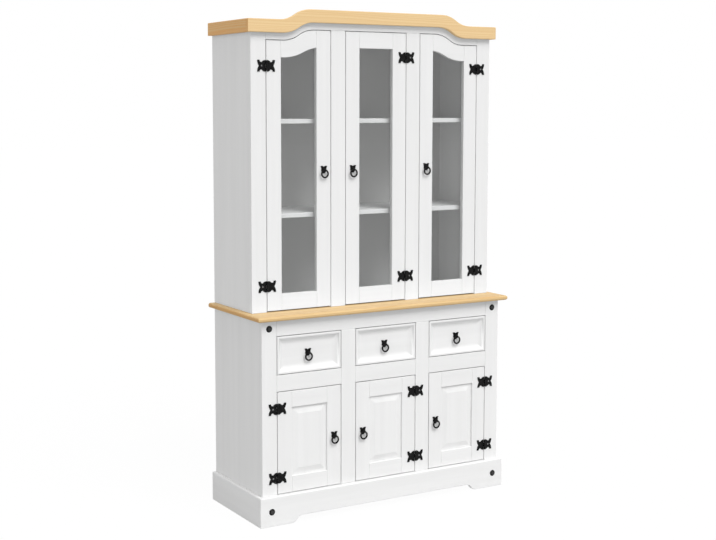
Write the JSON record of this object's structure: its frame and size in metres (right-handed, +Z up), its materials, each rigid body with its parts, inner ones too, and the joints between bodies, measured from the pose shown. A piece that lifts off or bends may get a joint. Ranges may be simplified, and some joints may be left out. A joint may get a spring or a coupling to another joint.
{
  "type": "highboard",
  "caption": "White painted pine highboard: a glazed hutch with arched cornice on a base with drawers over panelled doors, black iron butterfly hinges and ring pulls.",
  "frame": {"origin": "on the floor under the middle of the part's box", "axes": "+Z up, the front looks along -Y, +X to the right of someone facing the front"},
  "size_m": [1.12, 0.43, 1.89],
  "materials": {
    "white_paint": "satin white paint",
    "waxed_pine": "waxed pine",
    "bare_pine": "bare sawn pine",
    "back_panel": "white faced board",
    "black_iron": "black semi-gloss",
    "clear_glass": "clear float glass",
    "steel_pin": "zinc plated",
    "catch_plastic": "moulded"
  },
  "bodies": {
    "case": {"plinth_front": "white_paint", "plinth_sides": "white_paint", "base_sides": "white_paint", "base_bottom": "white_paint", "base_back": "back_panel", "base_partitions": "white_paint", "base_stiles": "white_paint", "base_rails": "white_paint", "drawer_runners": "bare_pine", "base_shelves": "white_paint", "shelf_pins": "steel_pin", "worktop": "waxed_pine", "nail_heads": "black_iron", "hutch_sides": "white_paint", "hutch_bottom": "white_paint", "hutch_top": "white_paint", "hutch_back": "back_panel", "hutch_stiles": "white_paint", "hutch_head_rail": "white_paint", "hutch_shelves": "white_paint", "cornice_front": "waxed_pine", "cornice_sides": "waxed_pine", "frame_hinge_leaves": "black_iron", "door_catches": "catch_plastic"},
    "base_door_left": {"base_door_left_frame": "white_paint", "base_door_left_panel": "white_paint", "base_door_left_iron": "black_iron"},
    "base_door_left_pull_ring": {"base_door_left_ring": "black_iron"},
    "hutch_door_left": {"hutch_door_left_frame": "white_paint", "hutch_door_left_glass": "clear_glass", "hutch_door_left_iron": "black_iron"},
    "hutch_door_left_pull_ring": {"hutch_door_left_ring": "black_iron"},
    "drawer_left": {"drawer_left_front": "white_paint", "drawer_left_box": "bare_pine", "drawer_left_pull": "black_iron"},
    "drawer_left_pull_ring": {"drawer_left_ring": "black_iron"},
    "base_door_middle": {"base_door_middle_frame": "white_paint", "base_door_middle_panel": "white_paint", "base_door_middle_iron": "black_iron"},
    "base_door_middle_pull_ring": {"base_door_middle_ring": "black_iron"},
    "hutch_door_middle": {"hutch_door_middle_frame": "white_paint", "hutch_door_middle_glass": "clear_glass", "hutch_door_middle_iron": "black_iron"},
    "hutch_door_middle_pull_ring": {"hutch_door_middle_ring": "black_iron"},
    "drawer_middle": {"drawer_middle_front": "white_paint", "drawer_middle_box": "bare_pine", "drawer_middle_pull": "black_iron"},
    "drawer_middle_pull_ring": {"drawer_middle_ring": "black_iron"},
    "base_door_right": {"base_door_right_frame": "white_paint", "base_door_right_panel": "white_paint", "base_door_right_iron": "black_iron"},
    "base_door_right_pull_ring": {"base_door_right_ring": "black_iron"},
    "hutch_door_right": {"hutch_door_right_frame": "white_paint", "hutch_door_right_glass": "clear_glass", "hutch_door_right_iron": "black_iron"},
    "hutch_door_right_pull_ring": {"hutch_door_right_ring": "black_iron"},
    "drawer_right": {"drawer_right_front": "white_paint", "drawer_right_box": "bare_pine", "drawer_right_pull": "black_iron"},
    "drawer_right_pull_ring": {"drawer_right_ring": "black_iron"}
  },
  "joints": [
    {"name": "base_door_left_hinge", "type": "hinge", "parent": "case", "child": "base_door_left", "pos_m": [-0.47075, -0.1902, 0.30325], "axis": [0, 0, -1], "range_deg": [0, 170]},
    {"name": "base_door_left_ring_swing", "type": "hinge", "parent": "base_door_left", "child": "base_door_left_pull_ring", "pos_m": [-0.23083, -0.1955, 0.30325], "axis": [-1, 0, 0], "range_deg": [-10, 170]},
    {"name": "hutch_door_left_hinge", "type": "hinge", "parent": "case", "child": "hutch_door_left", "pos_m": [-0.47075, -0.1142, 1.29875], "axis": [0, 0, -1], "range_deg": [0, 170]},
    {"name": "hutch_door_left_ring_swing", "type": "hinge", "parent": "hutch_door_left", "child": "hutch_door_left_pull_ring", "pos_m": [-0.23083, -0.1195, 1.29875], "axis": [-1, 0, 0], "range_deg": [-10, 170]},
    {"name": "drawer_left_slide", "type": "slide", "parent": "case", "child": "drawer_left", "axis": [0, -1, 0], "range_m": [0, 0.27]},
    {"name": "drawer_left_ring_swing", "type": "hinge", "parent": "drawer_left", "child": "drawer_left_pull_ring", "pos_m": [-0.33517, -0.1815, 0.628], "axis": [-1, 0, 0], "range_deg": [-10, 170]},
    {"name": "base_door_middle_hinge", "type": "hinge", "parent": "case", "child": "base_door_middle", "pos_m": [0.13558, -0.1902, 0.30325], "axis": [0, 0, 1], "range_deg": [0, 170]},
    {"name": "base_door_middle_ring_swing", "type": "hinge", "parent": "base_door_middle", "child": "base_door_middle_pull_ring", "pos_m": [-0.10433, -0.1955, 0.30325], "axis": [-1, 0, 0], "range_deg": [-10, 170]},
    {"name": "hutch_door_middle_hinge", "type": "hinge", "parent": "case", "child": "hutch_door_middle", "pos_m": [0.13558, -0.1142, 1.29875], "axis": [0, 0, 1], "range_deg": [0, 170]},
    {"name": "hutch_door_middle_ring_swing", "type": "hinge", "parent": "hutch_door_middle", "child": "hutch_door_middle_pull_ring", "pos_m": [-0.10433, -0.1195, 1.29875], "axis": [-1, 0, 0], "range_deg": [-10, 170]},
    {"name": "drawer_middle_slide", "type": "slide", "parent": "case", "child": "drawer_middle", "axis": [0, -1, 0], "range_m": [0, 0.27]},
    {"name": "drawer_middle_ring_swing", "type": "hinge", "parent": "drawer_middle", "child": "drawer_middle_pull_ring", "pos_m": [0, -0.1815, 0.628], "axis": [-1, 0, 0], "range_deg": [-10, 170]},
    {"name": "base_door_right_hinge", "type": "hinge", "parent": "case", "child": "base_door_right", "pos_m": [0.47075, -0.1902, 0.30325], "axis": [0, 0, 1], "range_deg": [0, 170]},
    {"name": "base_door_right_ring_swing", "type": "hinge", "parent": "base_door_right", "child": "base_door_right_pull_ring", "pos_m": [0.23083, -0.1955, 0.30325], "axis": [-1, 0, 0], "range_deg": [-10, 170]},
    {"name": "hutch_door_right_hinge", "type": "hinge", "parent": "case", "child": "hutch_door_right", "pos_m": [0.47075, -0.1142, 1.29875], "axis": [0, 0, 1], "range_deg": [0, 170]},
    {"name": "hutch_door_right_ring_swing", "type": "hinge", "parent": "hutch_door_right", "child": "hutch_door_right_pull_ring", "pos_m": [0.23083, -0.1195, 1.29875], "axis": [-1, 0, 0], "range_deg": [-10, 170]},
    {"name": "drawer_right_slide", "type": "slide", "parent": "case", "child": "drawer_right", "axis": [0, -1, 0], "range_m": [0, 0.27]},
    {"name": "drawer_right_ring_swing", "type": "hinge", "parent": "drawer_right", "child": "drawer_right_pull_ring", "pos_m": [0.33517, -0.1815, 0.628], "axis": [-1, 0, 0], "range_deg": [-10, 170]}
  ]
}
